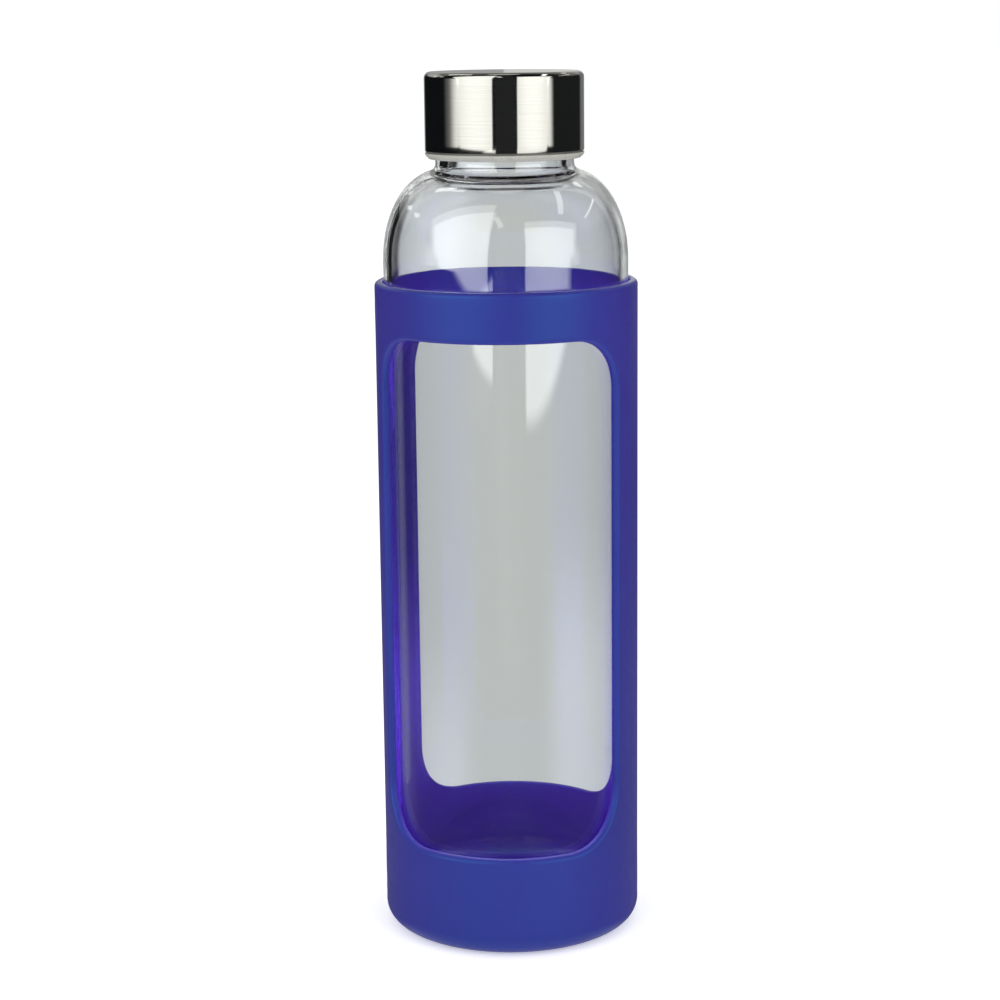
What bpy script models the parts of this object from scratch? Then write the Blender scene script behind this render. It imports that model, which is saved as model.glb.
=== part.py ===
"""Glass drinking bottle in a windowed silicone sleeve, with a steel screw cap.

Metres, +Z up. The origin is the centre of the sleeve's underside, and the
two windows face -Y (front) and +Y (back).
"""
import math

import bmesh
import bpy
from mathutils import Matrix, Vector

for stale in list(bpy.data.objects):
    bpy.data.objects.remove(stale, do_unlink=True)

MM = 0.001
GAP = 0.3 * MM          # clearance between touching pieces

# sleeve
SLEEVE_R = 32.5 * MM
SLEEVE_WALL = 2.0 * MM
SLEEVE_H = 164.8 * MM
SLEEVE_FLOOR = 3.0 * MM
SLEEVE_FOOT_R = 4.8 * MM     # rounding of the outer bottom edge
SLEEVE_LIP_OUT = 1.2 * MM    # rounding of the rim's outer edge
SLEEVE_LIP_IN = 0.5 * MM
GROOVES = ((15.0 * MM, 17.0 * MM), (21.0 * MM, 23.0 * MM))  # grip rings underneath
GROOVE_DEPTH = 0.7 * MM
WINDOW_HALF = math.radians(63.0)   # measured at the bore
WINDOW_Z0 = 25.3 * MM
WINDOW_Z1 = 152.6 * MM
WINDOW_CORNER_TOP = 13.0 * MM
WINDOW_CORNER_BOTTOM = 15.0 * MM
WINDOW_EASE = 1.0 * MM       # rounding of the window's outer edge

# glass
GLASS_R = 30.2 * MM
GLASS_WALL = 2.0 * MM
GLASS_BASE_Z = SLEEVE_FLOOR + GAP
GLASS_BASE_R = 6.5 * MM      # rounding of the heel
SHOULDER_Z = 169.5 * MM
SHOULDER_A = 15.6 * MM
SHOULDER_B = 22.6 * MM
SHOULDER_POWER = 2.1
NECK_R = 17.0 * MM
NECK_BORE_R = 13.9 * MM
BEAD_TOP_Z = 195.6 * MM
THREAD_ROOT_R = 15.9 * MM
LIP_Z = 211.0 * MM

# thread: two starts
LEAD = 8.0 * MM
STARTS = 2
GLASS_CREST_R = 16.95 * MM
GLASS_THREAD = (198.4 * MM, 207.4 * MM)

# cap
CAP_R = 19.5 * MM
CAP_TOP_Z = 215.4 * MM
CAP_EDGE_R = 1.5 * MM
SHELL_WALL = 0.5 * MM
SHELL_BOTTOM_Z = 196.25 * MM
LINER_R = 18.65 * MM
LINER_BOTTOM_Z = 194.45 * MM
LINER_FLANGE_TOP_Z = SHELL_BOTTOM_Z - GAP
LINER_BORE_R = 17.5 * MM
LINER_CREST_R = 16.4 * MM
LINER_ROOF_TOP_Z = CAP_TOP_Z - SHELL_WALL - GAP
LINER_ROOF_Z = LINER_ROOF_TOP_Z - 1.4 * MM
LINER_THREAD = (198.0 * MM, 204.6 * MM)
GASKET_TOP_Z = LINER_ROOF_Z - GAP
GASKET_Z = LIP_Z + GAP
GASKET_R = 17.1 * MM
GASKET_BORE_R = 13.2 * MM

SEGMENTS = 48


# ---------------------------------------------------------------- helpers

def material(name, colour, roughness, metallic=0.0, transmission=0.0, alpha=1.0):
    mat = bpy.data.materials.new(name)
    mat.use_nodes = True
    bsdf = mat.node_tree.nodes["Principled BSDF"]
    bsdf.inputs["Base Color"].default_value = (*colour, 1.0)
    bsdf.inputs["Roughness"].default_value = roughness
    bsdf.inputs["Metallic"].default_value = metallic
    bsdf.inputs["Transmission Weight"].default_value = transmission
    bsdf.inputs["Alpha"].default_value = alpha
    mat.diffuse_color = (*colour, alpha)
    return mat


def new_object(name, bm, mat, smooth_angle=math.radians(32)):
    bmesh.ops.recalc_face_normals(bm, faces=bm.faces[:])
    mesh = bpy.data.meshes.new(name)
    bm.to_mesh(mesh)
    bm.free()
    obj = bpy.data.objects.new(name, mesh)
    bpy.context.scene.collection.objects.link(obj)
    mesh.materials.append(mat)
    for poly in mesh.polygons:
        poly.use_smooth = True
    mesh.set_sharp_from_angle(angle=smooth_angle)
    return obj


def arc(cx, cz, r, a0, a1, steps, power=2.0, rz=None):
    """Points of a (super)elliptic arc from angle a0 to a1, in degrees."""
    rz = r if rz is None else rz
    points = []
    for i in range(steps + 1):
        a = math.radians(a0 + (a1 - a0) * i / steps)
        c, s = math.cos(a), math.sin(a)
        x = math.copysign(abs(c) ** (2.0 / power), c) if abs(c) > 1e-9 else 0.0
        z = math.copysign(abs(s) ** (2.0 / power), s) if abs(s) > 1e-9 else 0.0
        points.append((cx + r * x, cz + rz * z))
    return points


def revolve(name, profile, mat, segments=SEGMENTS):
    """Closed (r, z) outline turned about Z; points on the axis become poles."""
    bm = bmesh.new()
    rings = []
    for r, z in profile:
        if r < 1e-7:
            rings.append([bm.verts.new((0.0, 0.0, z))])
        else:
            rings.append([bm.verts.new((r * math.cos(2 * math.pi * i / segments),
                                        r * math.sin(2 * math.pi * i / segments), z))
                          for i in range(segments)])
    closed = profile[0][0] > 1e-7 or profile[-1][0] > 1e-7
    count = len(rings)
    for k in range(count if closed else count - 1):
        a, b = rings[k], rings[(k + 1) % count]
        for i in range(segments):
            j = (i + 1) % segments
            corners = [a[i % len(a)], b[i % len(b)], b[j % len(b)], a[j % len(a)]]
            loop = []
            for v in corners:
                if v not in loop:
                    loop.append(v)
            if len(loop) > 2:
                bm.faces.new(loop)
    return new_object(name, bm, mat)


def ridge(name, start, z0, z1, root_r, crest_r, base_w, crest_w, mat, steps_per_turn=30):
    """One helical thread ridge, its ends tapered down into the wall."""
    turns = (z1 - z0) / LEAD
    steps = max(8, int(round(turns * steps_per_turn)))
    bm = bmesh.new()
    sections = []
    for k in range(steps + 1):
        t = k / steps
        angle = start + 2 * math.pi * turns * t
        z = z0 + (z1 - z0) * t
        ends = min(1.0, min(t, 1 - t) * turns * 2 * math.pi / math.radians(28))
        rise = math.sin(0.5 * math.pi * ends)
        crest = root_r + (crest_r - root_r) * (-0.12 + 1.12 * rise)
        base = root_r + (0.35 * MM if crest_r < root_r else -0.35 * MM)
        c, s = math.cos(angle), math.sin(angle)
        section = [(base, z - base_w / 2), (crest, z - crest_w / 2),
                   (crest, z + crest_w / 2), (base, z + base_w / 2)]
        sections.append([bm.verts.new((r * c, r * s, h)) for r, h in section])
    for a, b in zip(sections, sections[1:]):
        for i in range(4):
            j = (i + 1) % 4
            bm.faces.new((a[i], b[i], b[j], a[j]))
    bm.faces.new(sections[0][::-1])
    bm.faces.new(sections[-1])
    return new_object(name, bm, mat)


def boolean(target, cutters, operation):
    for cutter in cutters:
        cutter.hide_render = True
        cutter.display_type = 'WIRE'
        mod = target.modifiers.new(operation.lower(), 'BOOLEAN')
        mod.operation = operation
        mod.solver = 'EXACT'
        mod.object = cutter
    depsgraph = bpy.context.evaluated_depsgraph_get()
    mesh = bpy.data.meshes.new_from_object(target.evaluated_get(depsgraph))
    target.modifiers.clear()
    old = target.data
    target.data = mesh
    mesh.name = target.name
    bpy.data.meshes.remove(old)
    for cutter in cutters:
        bpy.data.objects.remove(cutter, do_unlink=True)
    bm = bmesh.new()
    bm.from_mesh(mesh)
    bmesh.ops.remove_doubles(bm, verts=bm.verts[:], dist=0.002 * MM)
    bmesh.ops.dissolve_degenerate(bm, edges=bm.edges[:], dist=0.001 * MM)
    bmesh.ops.triangulate(bm, faces=bm.faces[:])
    bm.to_mesh(mesh)
    bm.free()
    for poly in mesh.polygons:
        poly.use_smooth = True
    mesh.set_sharp_from_angle(angle=math.radians(32))


# ---------------------------------------------------------------- sleeve

def window_chains(grow, radius, corner_steps=6, span_steps=9):
    """Lower and upper halves of a rounded rectangle wrapped on a cylinder, facing -Y.

    Both run from the left side to the right side with the same number of points.
    """
    wrap = SLEEVE_R - SLEEVE_WALL
    half = WINDOW_HALF * wrap + grow
    chains = []
    for edge, r, up in ((WINDOW_Z0 - grow, WINDOW_CORNER_BOTTOM + grow, -1),
                        (WINDOW_Z1 + grow, WINDOW_CORNER_TOP + grow, 1)):
        centre = edge - up * r
        left = [(-half + r - r * math.cos(math.radians(90 * i / corner_steps)),
                 centre + up * r * math.sin(math.radians(90 * i / corner_steps)))
                for i in range(corner_steps + 1)]
        span = [(-half + r + 2 * (half - r) * i / span_steps, edge) for i in range(1, span_steps)]
        right = [(-s, z) for s, z in reversed(left)]
        chains.append([(radius * math.sin(s / wrap), -radius * math.cos(s / wrap), z)
                       for s, z in left + span + right])
    return chains


def window_cutter(name, mat, turn):
    bore = SLEEVE_R - SLEEVE_WALL
    ease = WINDOW_EASE
    stack = [(bore - 1.0 * MM, 0.0), (SLEEVE_R - ease, 0.0)]
    for i in range(1, 4):
        a = math.radians(75.0 * i / 3)
        stack.append((SLEEVE_R - ease + ease * math.sin(a), ease * (1 - math.cos(a))))
    stack.append((SLEEVE_R + 1.0 * MM, stack[-1][1] + 1.6 * MM))
    bm = bmesh.new()
    layers = [[[bm.verts.new(p) for p in chain] for chain in window_chains(g, r)] for r, g in stack]
    rings = [low + high[::-1] for low, high in layers]
    for a, b in zip(rings, rings[1:]):
        n = len(a)
        for i in range(n):
            j = (i + 1) % n
            bm.faces.new((a[i], a[j], b[j], b[i]))
    for low, high in (layers[0], layers[-1]):
        for i in range(len(low) - 1):
            bm.faces.new((low[i], low[i + 1], high[i + 1], high[i]))
    bmesh.ops.rotate(bm, verts=bm.verts[:], cent=(0, 0, 0),
                     matrix=Matrix.Rotation(turn, 3, 'Z'))
    return new_object(name, bm, mat)


def sleeve(mat):
    bore = SLEEVE_R - SLEEVE_WALL
    inner_foot = max(GLASS_BASE_R + 0.1 * MM, 2 * MM)
    profile = [(0.0, 0.0)]
    for r0, r1 in GROOVES:
        profile += [(r0, 0.0), (r0 + 0.3 * MM, GROOVE_DEPTH), (r1 - 0.3 * MM, GROOVE_DEPTH), (r1, 0.0)]
    profile += arc(SLEEVE_R - SLEEVE_FOOT_R, SLEEVE_FOOT_R, SLEEVE_FOOT_R, -90, 0, 5)
    profile += arc(SLEEVE_R - SLEEVE_LIP_OUT, SLEEVE_H - SLEEVE_LIP_OUT, SLEEVE_LIP_OUT, 0, 90, 3)
    profile += arc(bore + SLEEVE_LIP_IN, SLEEVE_H - SLEEVE_LIP_IN, SLEEVE_LIP_IN, 90, 180, 2)
    profile += [(x, z) for x, z in arc(bore - inner_foot, SLEEVE_FLOOR + inner_foot, inner_foot, 0, -90, 4)]
    profile += [(0.0, SLEEVE_FLOOR)]
    obj = revolve("silicone_sleeve", profile, mat)
    cutters = [window_cutter("window_front", mat, 0.0), window_cutter("window_back", mat, math.pi)]
    boolean(obj, cutters, 'DIFFERENCE')
    return obj


# ---------------------------------------------------------------- glass

def glass(mat):
    r, w = GLASS_R, GLASS_WALL
    neck_t = math.acos(((NECK_R - (r - SHOULDER_A)) / SHOULDER_A) ** (SHOULDER_POWER / 2))
    profile = [(0.0, GLASS_BASE_Z + 1.2 * MM), (9.0 * MM, GLASS_BASE_Z + 0.8 * MM),
               (16.0 * MM, GLASS_BASE_Z + 0.1 * MM), (18.5 * MM, GLASS_BASE_Z)]
    profile += arc(r - GLASS_BASE_R, GLASS_BASE_Z + GLASS_BASE_R, GLASS_BASE_R, -90, 0, 5)
    profile += arc(r - SHOULDER_A, SHOULDER_Z, SHOULDER_A, 0, math.degrees(neck_t) - 1.5, 9,
                   SHOULDER_POWER, SHOULDER_B)
    top = profile[-1]
    profile += [(NECK_R + 0.35 * MM, top[1] + 0.25 * MM), (NECK_R, top[1] + 0.85 * MM)]
    profile += [(NECK_R, BEAD_TOP_Z - 0.5 * MM), (NECK_R - 0.5 * MM, BEAD_TOP_Z),
                (THREAD_ROOT_R, BEAD_TOP_Z + 0.5 * MM)]
    profile += arc(THREAD_ROOT_R - 0.8 * MM, LIP_Z - 0.8 * MM, 0.8 * MM, 0, 90, 2)
    profile += arc(NECK_BORE_R + 0.6 * MM, LIP_Z - 0.6 * MM, 0.6 * MM, 90, 180, 2)
    profile += [(NECK_BORE_R, 194.6 * MM)]
    # inside of the shoulder, body and base
    inner = arc(r - SHOULDER_A - 0.6 * MM, SHOULDER_Z, SHOULDER_A - w + 0.6 * MM, 84, 0, 9,
                SHOULDER_POWER, SHOULDER_B - w)
    inner = [p for p in inner if p[0] > NECK_BORE_R + 0.9 * MM]
    profile += [(NECK_BORE_R + 0.3 * MM, 192.6 * MM)] + inner
    base_r = GLASS_BASE_R - 1.0 * MM
    floor = GLASS_BASE_Z + 3.6 * MM
    profile += arc(r - w - base_r, floor + base_r, base_r, 0, -90, 4)
    profile += [(0.0, floor + 0.2 * MM)]
    obj = revolve("glass_bottle", profile, mat)
    ridges = [ridge("glass_ridge_%d" % k, 2 * math.pi * k / STARTS, GLASS_THREAD[0], GLASS_THREAD[1],
                    THREAD_ROOT_R, GLASS_CREST_R, 1.7 * MM, 0.8 * MM, mat) for k in range(STARTS)]
    boolean(obj, ridges, 'UNION')
    return obj


# ---------------------------------------------------------------- cap

def cap_shell(mat):
    ro, ri = CAP_R, CAP_R - SHELL_WALL
    top, under = CAP_TOP_Z, CAP_TOP_Z - SHELL_WALL
    profile = [(0.0, top)]
    profile += arc(ro - CAP_EDGE_R, top - CAP_EDGE_R, CAP_EDGE_R, 90, 0, 5)
    profile += [(ro, SHELL_BOTTOM_Z + 0.15 * MM), (ro - 0.15 * MM, SHELL_BOTTOM_Z), (ri, SHELL_BOTTOM_Z)]
    profile += arc(ri - 0.5 * MM, under - 0.5 * MM, 0.5 * MM, 0, 90, 3)
    profile += [(0.0, under)]
    return revolve("cap_shell", profile, mat)


def cap_liner(mat):
    flange = LINER_FLANGE_TOP_Z
    profile = [(0.0, LINER_ROOF_TOP_Z)]
    profile += arc(LINER_R - 0.7 * MM, LINER_ROOF_TOP_Z - 0.7 * MM, 0.7 * MM, 90, 0, 3)
    profile += [(LINER_R, flange), (CAP_R, flange), (CAP_R, flange - 0.35 * MM),
                (CAP_R - 0.75 * MM, LINER_BOTTOM_Z + 0.35 * MM), (CAP_R - 1.05 * MM, LINER_BOTTOM_Z),
                (LINER_BORE_R + 0.3 * MM, LINER_BOTTOM_Z), (LINER_BORE_R, LINER_BOTTOM_Z + 0.3 * MM),
                (LINER_BORE_R, LINER_ROOF_Z), (0.0, LINER_ROOF_Z)]
    obj = revolve("cap_liner", profile, mat)
    # ridges lie midway between the glass ones: a quarter of the lead higher or lower
    z0, z1 = LINER_THREAD
    offset = 2 * math.pi * ((z0 - GLASS_THREAD[0]) / LEAD) - 2 * math.pi * (LEAD / 4) / LEAD
    ridges = [ridge("liner_ridge_%d" % k, offset + 2 * math.pi * k / STARTS, z0, z1,
                    LINER_BORE_R, LINER_CREST_R, 1.7 * MM, 0.8 * MM, mat) for k in range(STARTS)]
    boolean(obj, ridges, 'UNION')
    return obj


def cap_gasket(mat):
    c = 0.25 * MM
    profile = [(GASKET_BORE_R, GASKET_Z + c), (GASKET_BORE_R + c, GASKET_Z), (GASKET_R - c, GASKET_Z),
               (GASKET_R, GASKET_Z + c), (GASKET_R, GASKET_TOP_Z - c), (GASKET_R - c, GASKET_TOP_Z),
               (GASKET_BORE_R + c, GASKET_TOP_Z), (GASKET_BORE_R, GASKET_TOP_Z - c)]
    return revolve("cap_gasket", profile, mat)


def axis_empty(name, z):
    empty = bpy.data.objects.new(name, None)
    empty.empty_display_size = 0.01
    empty.location = (0.0, 0.0, z)
    bpy.context.scene.collection.objects.link(empty)
    return empty


def hang(obj, empty):
    """Parent to the axis empty with the mesh left where it stands."""
    shift = Matrix.Translation(-empty.location)
    obj.data.transform(shift)
    obj.parent = empty


glass_clear = material("clear_glass", (0.92, 0.95, 0.95), 0.02, transmission=0.95, alpha=0.35)
silicone_blue = material("silicone_blue", (0.028, 0.035, 0.27), 0.55)
steel_brushed = material("steel_brushed", (0.62, 0.61, 0.59), 0.28, metallic=1.0)
liner_plastic = material("liner_plastic", (0.56, 0.55, 0.52), 0.45)
gasket_silicone = material("gasket_silicone", (0.78, 0.78, 0.76), 0.5)

silicone_sleeve = sleeve(silicone_blue)
glass_bottle = glass(glass_clear)
shell = cap_shell(steel_brushed)
liner = cap_liner(liner_plastic)
gasket = cap_gasket(gasket_silicone)

bottle_axis = axis_empty("bottle_lift_axis", GLASS_BASE_Z)
cap_axis = axis_empty("cap_turn_axis", LINER_BOTTOM_Z)
hang(glass_bottle, bottle_axis)
for piece in (shell, liner, gasket):
    hang(piece, cap_axis)
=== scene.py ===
import math

import bmesh
import bpy
from mathutils import Matrix, Vector


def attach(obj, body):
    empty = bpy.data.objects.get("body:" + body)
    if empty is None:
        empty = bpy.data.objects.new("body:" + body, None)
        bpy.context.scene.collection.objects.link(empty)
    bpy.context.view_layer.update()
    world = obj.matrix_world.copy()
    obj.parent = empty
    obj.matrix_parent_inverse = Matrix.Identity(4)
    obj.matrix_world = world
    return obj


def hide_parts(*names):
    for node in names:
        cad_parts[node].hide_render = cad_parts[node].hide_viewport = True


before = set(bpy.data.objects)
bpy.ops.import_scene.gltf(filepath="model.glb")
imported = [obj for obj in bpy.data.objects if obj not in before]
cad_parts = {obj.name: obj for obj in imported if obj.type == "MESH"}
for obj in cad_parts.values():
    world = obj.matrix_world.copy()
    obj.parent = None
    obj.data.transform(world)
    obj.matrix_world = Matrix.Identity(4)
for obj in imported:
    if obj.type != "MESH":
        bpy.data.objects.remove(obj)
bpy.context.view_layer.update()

MM = 0.001
TAU = 2.0 * math.pi
SEG = 192


# ------------------------------------------------------------------ sizes
# Repeated from the CAD, in millimetres, so that each fine piece fills its solid.

SLEEVE_R, SLEEVE_BORE, SLEEVE_H, SLEEVE_FLOOR = 32.5, 30.5, 164.8, 3.0
SLEEVE_FOOT, SLEEVE_INNER_FOOT = 4.8, 6.6
LIP_OUT, LIP_IN = 1.2, 0.5
GROOVES = ((15.0, 17.0), (21.0, 23.0))
GROOVE_DEPTH = 0.7
WINDOW_HALF = math.radians(63.0) * SLEEVE_BORE
WINDOW_Z0, WINDOW_Z1 = 25.3, 152.6
CORNER_BOTTOM, CORNER_TOP = 15.0, 13.0
EASE_OUT, EASE_IN = 1.0, 0.3

GLASS_R, GLASS_WALL = 30.2, 2.0
GLASS_Z0 = SLEEVE_FLOOR + 0.3
HEEL = 6.5
SHOULDER_Z, SHOULDER_A, SHOULDER_B, SHOULDER_P = 169.5, 15.6, 22.6, 2.1
NECK_R, BORE_R = 17.0, 13.9
BEAD_TOP, ROOT_R, LIP_Z = 195.6, 15.9, 211.0
LEAD, STARTS = 8.0, 2
GLASS_CREST, GLASS_THREAD = 16.95, (198.4, 207.4)

CAP_R, CAP_TOP, CAP_EDGE, SHELL_WALL, SHELL_BOTTOM = 19.5, 215.4, 1.5, 0.5, 196.25
LINER_R, LINER_BOTTOM, LINER_FLANGE = 18.65, 194.45, 195.95
LINER_BORE, LINER_CREST = 17.5, 16.4
LINER_ROOF_TOP = CAP_TOP - SHELL_WALL - 0.3
LINER_ROOF = LINER_ROOF_TOP - 1.4
LINER_THREAD = (198.0, 204.6)
GASKET_TOP, GASKET_Z, GASKET_R, GASKET_BORE = LINER_ROOF - 0.3, LIP_Z + 0.3, 17.1, 13.2


# ------------------------------------------------------------------ mesh helpers

def arc(cx, cz, r, a0, a1, steps, power=2.0, rz=None):
    rz = r if rz is None else rz
    out = []
    for i in range(steps + 1):
        a = math.radians(a0 + (a1 - a0) * i / steps)
        c, s = math.cos(a), math.sin(a)
        x = math.copysign(abs(c) ** (2.0 / power), c) if abs(c) > 1e-9 else 0.0
        z = math.copysign(abs(s) ** (2.0 / power), s) if abs(s) > 1e-9 else 0.0
        out.append((cx + r * x, cz + rz * z))
    return out


def bezier(p0, p1, p2, steps):
    out = []
    for i in range(steps + 1):
        t = i / steps
        a, b, c = (1 - t) ** 2, 2 * t * (1 - t), t * t
        out.append((a * p0[0] + b * p1[0] + c * p2[0], a * p0[1] + b * p1[1] + c * p2[1]))
    return out


def line(p0, p1, steps, ends=False):
    lo, hi = (0, steps + 1) if ends else (1, steps)
    return [(p0[0] + (p1[0] - p0[0]) * i / steps, p0[1] + (p1[1] - p0[1]) * i / steps)
            for i in range(lo, hi)]


def clean(profile):
    out = []
    for p in profile:
        if not out or math.hypot(p[0] - out[-1][0], p[1] - out[-1][1]) > 0.004:
            out.append(p)
    return out


def make_object(name, bm, angle=35.0):
    bmesh.ops.recalc_face_normals(bm, faces=bm.faces[:])
    mesh = bpy.data.meshes.new(name)
    bm.to_mesh(mesh)
    bm.free()
    for poly in mesh.polygons:
        poly.use_smooth = True
    mesh.set_sharp_from_angle(angle=math.radians(angle))
    obj = bpy.data.objects.new(name, mesh)
    bpy.context.scene.collection.objects.link(obj)
    return obj


def bridge(bm, a, b):
    """Faces between two rings; a ring of one vertex is a pole."""
    n = max(len(a), len(b))
    for i in range(n):
        j = (i + 1) % n
        loop = []
        for v in (a[i % len(a)], a[j % len(a)], b[j % len(b)], b[i % len(b)]):
            if v not in loop:
                loop.append(v)
        if len(loop) > 2:
            bm.faces.new(loop)


def ring(bm, r, z, shape=None):
    if r < 1e-6:
        return [bm.verts.new((0.0, 0.0, z * MM))]
    out = []
    for i in range(SEG):
        a = TAU * i / SEG
        rr, zz = shape(r, z, a) if shape else (r, z)
        out.append(bm.verts.new((rr * math.cos(a) * MM, rr * math.sin(a) * MM, zz * MM)))
    return out


def lathe(name, profile, shape=None, angle=35.0):
    """A closed body turned from its (r, z) outline; shape may push points about."""
    bm = bmesh.new()
    rings = [ring(bm, r, z, shape) for r, z in clean(profile)]
    for a, b in zip(rings, rings[1:]):
        bridge(bm, a, b)
    if len(rings[0]) > 1 or len(rings[-1]) > 1:
        bridge(bm, rings[-1], rings[0])
    return make_object(name, bm, angle)


def thread_height(angle, z, first, z0, z1, base, crest):
    """0..1 height of a helical ridge at a point of the wall."""
    span = TAU * (z1 - z0) / LEAD
    best = 0.0
    for k in range(STARTS):
        u = (angle - first - TAU * k / STARTS) % TAU
        while u <= span:
            d = abs(z - (z0 + LEAD * u / TAU))
            if d < base / 2:
                h = min(1.0, (base / 2 - d) / (base / 2 - crest / 2))
                h = h * h * (3 - 2 * h)
                end = min(1.0, min(u, span - u) / math.radians(28))
                best = max(best, h * math.sin(0.5 * math.pi * end))
            u += TAU
    return best


# ------------------------------------------------------------------ sleeve

K, J, HALF_CORNER = SEG // 2, 84, 16


def window_loop(grow):
    """Rounded rectangle in (arc length at the bore, z), anticlockwise from the lower left
    corner's middle: K steps along the bottom, J up the right, K back along the top, J down."""
    w = WINDOW_HALF + grow
    z0, z1 = WINDOW_Z0 - grow, WINDOW_Z1 + grow
    rb, rt = CORNER_BOTTOM + grow, CORNER_TOP + grow

    def quarter(cx, cz, r, a0, a1, n):
        return [(cx + r * math.cos(math.radians(a0 + (a1 - a0) * i / n)),
                 cz + r * math.sin(math.radians(a0 + (a1 - a0) * i / n))) for i in range(n)]

    n = HALF_CORNER
    out = []
    out += quarter(-w + rb, z0 + rb, rb, 225, 270, n)
    out += line((-w + rb, z0), (w - rb, z0), K - 2 * n, True)[:-1]
    out += quarter(w - rb, z0 + rb, rb, 270, 315, n)
    out += quarter(w - rb, z0 + rb, rb, 315, 360, n)
    out += line((w, z0 + rb), (w, z1 - rt), J - 2 * n, True)[:-1]
    out += quarter(w - rt, z1 - rt, rt, 0, 45, n)
    out += quarter(w - rt, z1 - rt, rt, 45, 90, n)
    out += line((w - rt, z1), (-w + rt, z1), K - 2 * n, True)[:-1]
    out += quarter(-w + rt, z1 - rt, rt, 90, 135, n)
    out += quarter(-w + rt, z1 - rt, rt, 135, 180, n)
    out += line((-w, z1 - rt), (-w, z0 + rb), J - 2 * n, True)[:-1]
    out += quarter(-w + rb, z0 + rb, rb, 180, 225, n)
    return out


def panel_loop(zb, zt):
    """The panel's own border, a quarter turn either side of the window, point for point."""
    hole = window_loop(0.0)
    side = math.pi / 2 * SLEEVE_BORE
    low, high = hole[K][1], hole[K + J][1]
    out = []
    for i in range(K):
        out.append((-side + 2 * side * i / K, zb))
    for j in range(J):
        out.append((side, zb + (hole[K + j][1] - low) / (high - low) * (zt - zb)))
    for i in range(K):
        out.append((side - 2 * side * i / K, zt))
    for j in range(J):
        out.append((-side, out[K + J - j][1] if j else zt))
    return out


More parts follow.
